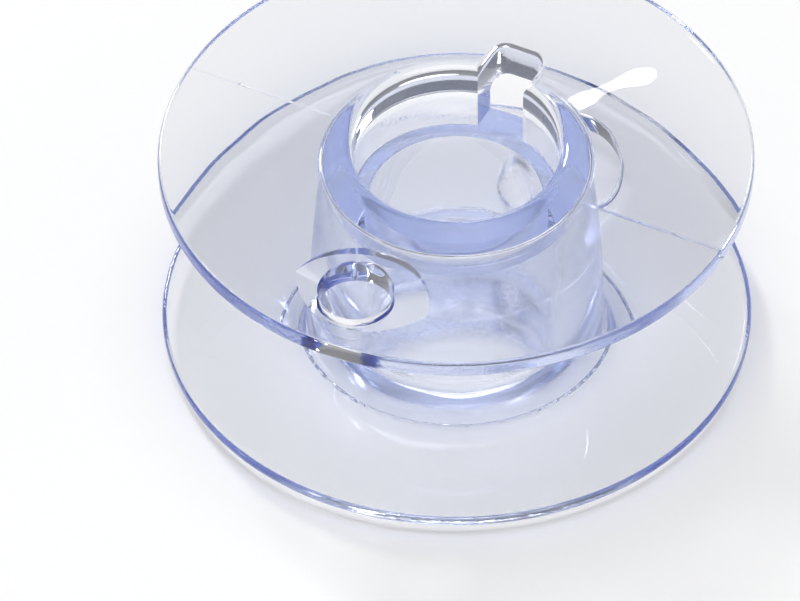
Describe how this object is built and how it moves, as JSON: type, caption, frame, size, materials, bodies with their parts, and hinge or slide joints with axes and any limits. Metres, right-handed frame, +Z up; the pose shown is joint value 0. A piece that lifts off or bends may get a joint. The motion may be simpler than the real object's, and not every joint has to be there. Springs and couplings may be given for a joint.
{
  "type": "sewing machine bobbin",
  "caption": "Clear plastic sewing machine bobbin: a hollow hub between two slightly domed flanges, each with a thread hole, and a notched socket above the spindle bore.",
  "frame": {"origin": "middle of the flat seat under the lower flange, on the spindle axis", "axes": "+Z up along the spindle axis, +Y from the axis towards the drive notch, +X along the mould's parting line"},
  "size_m": [0.0205, 0.0204, 0.0087],
  "materials": {
    "clear_plastic": "polished clear plastic with a faint blue-violet tint"
  },
  "bodies": {
    "root": {"bobbin": "clear_plastic"}
  },
  "joints": []
}
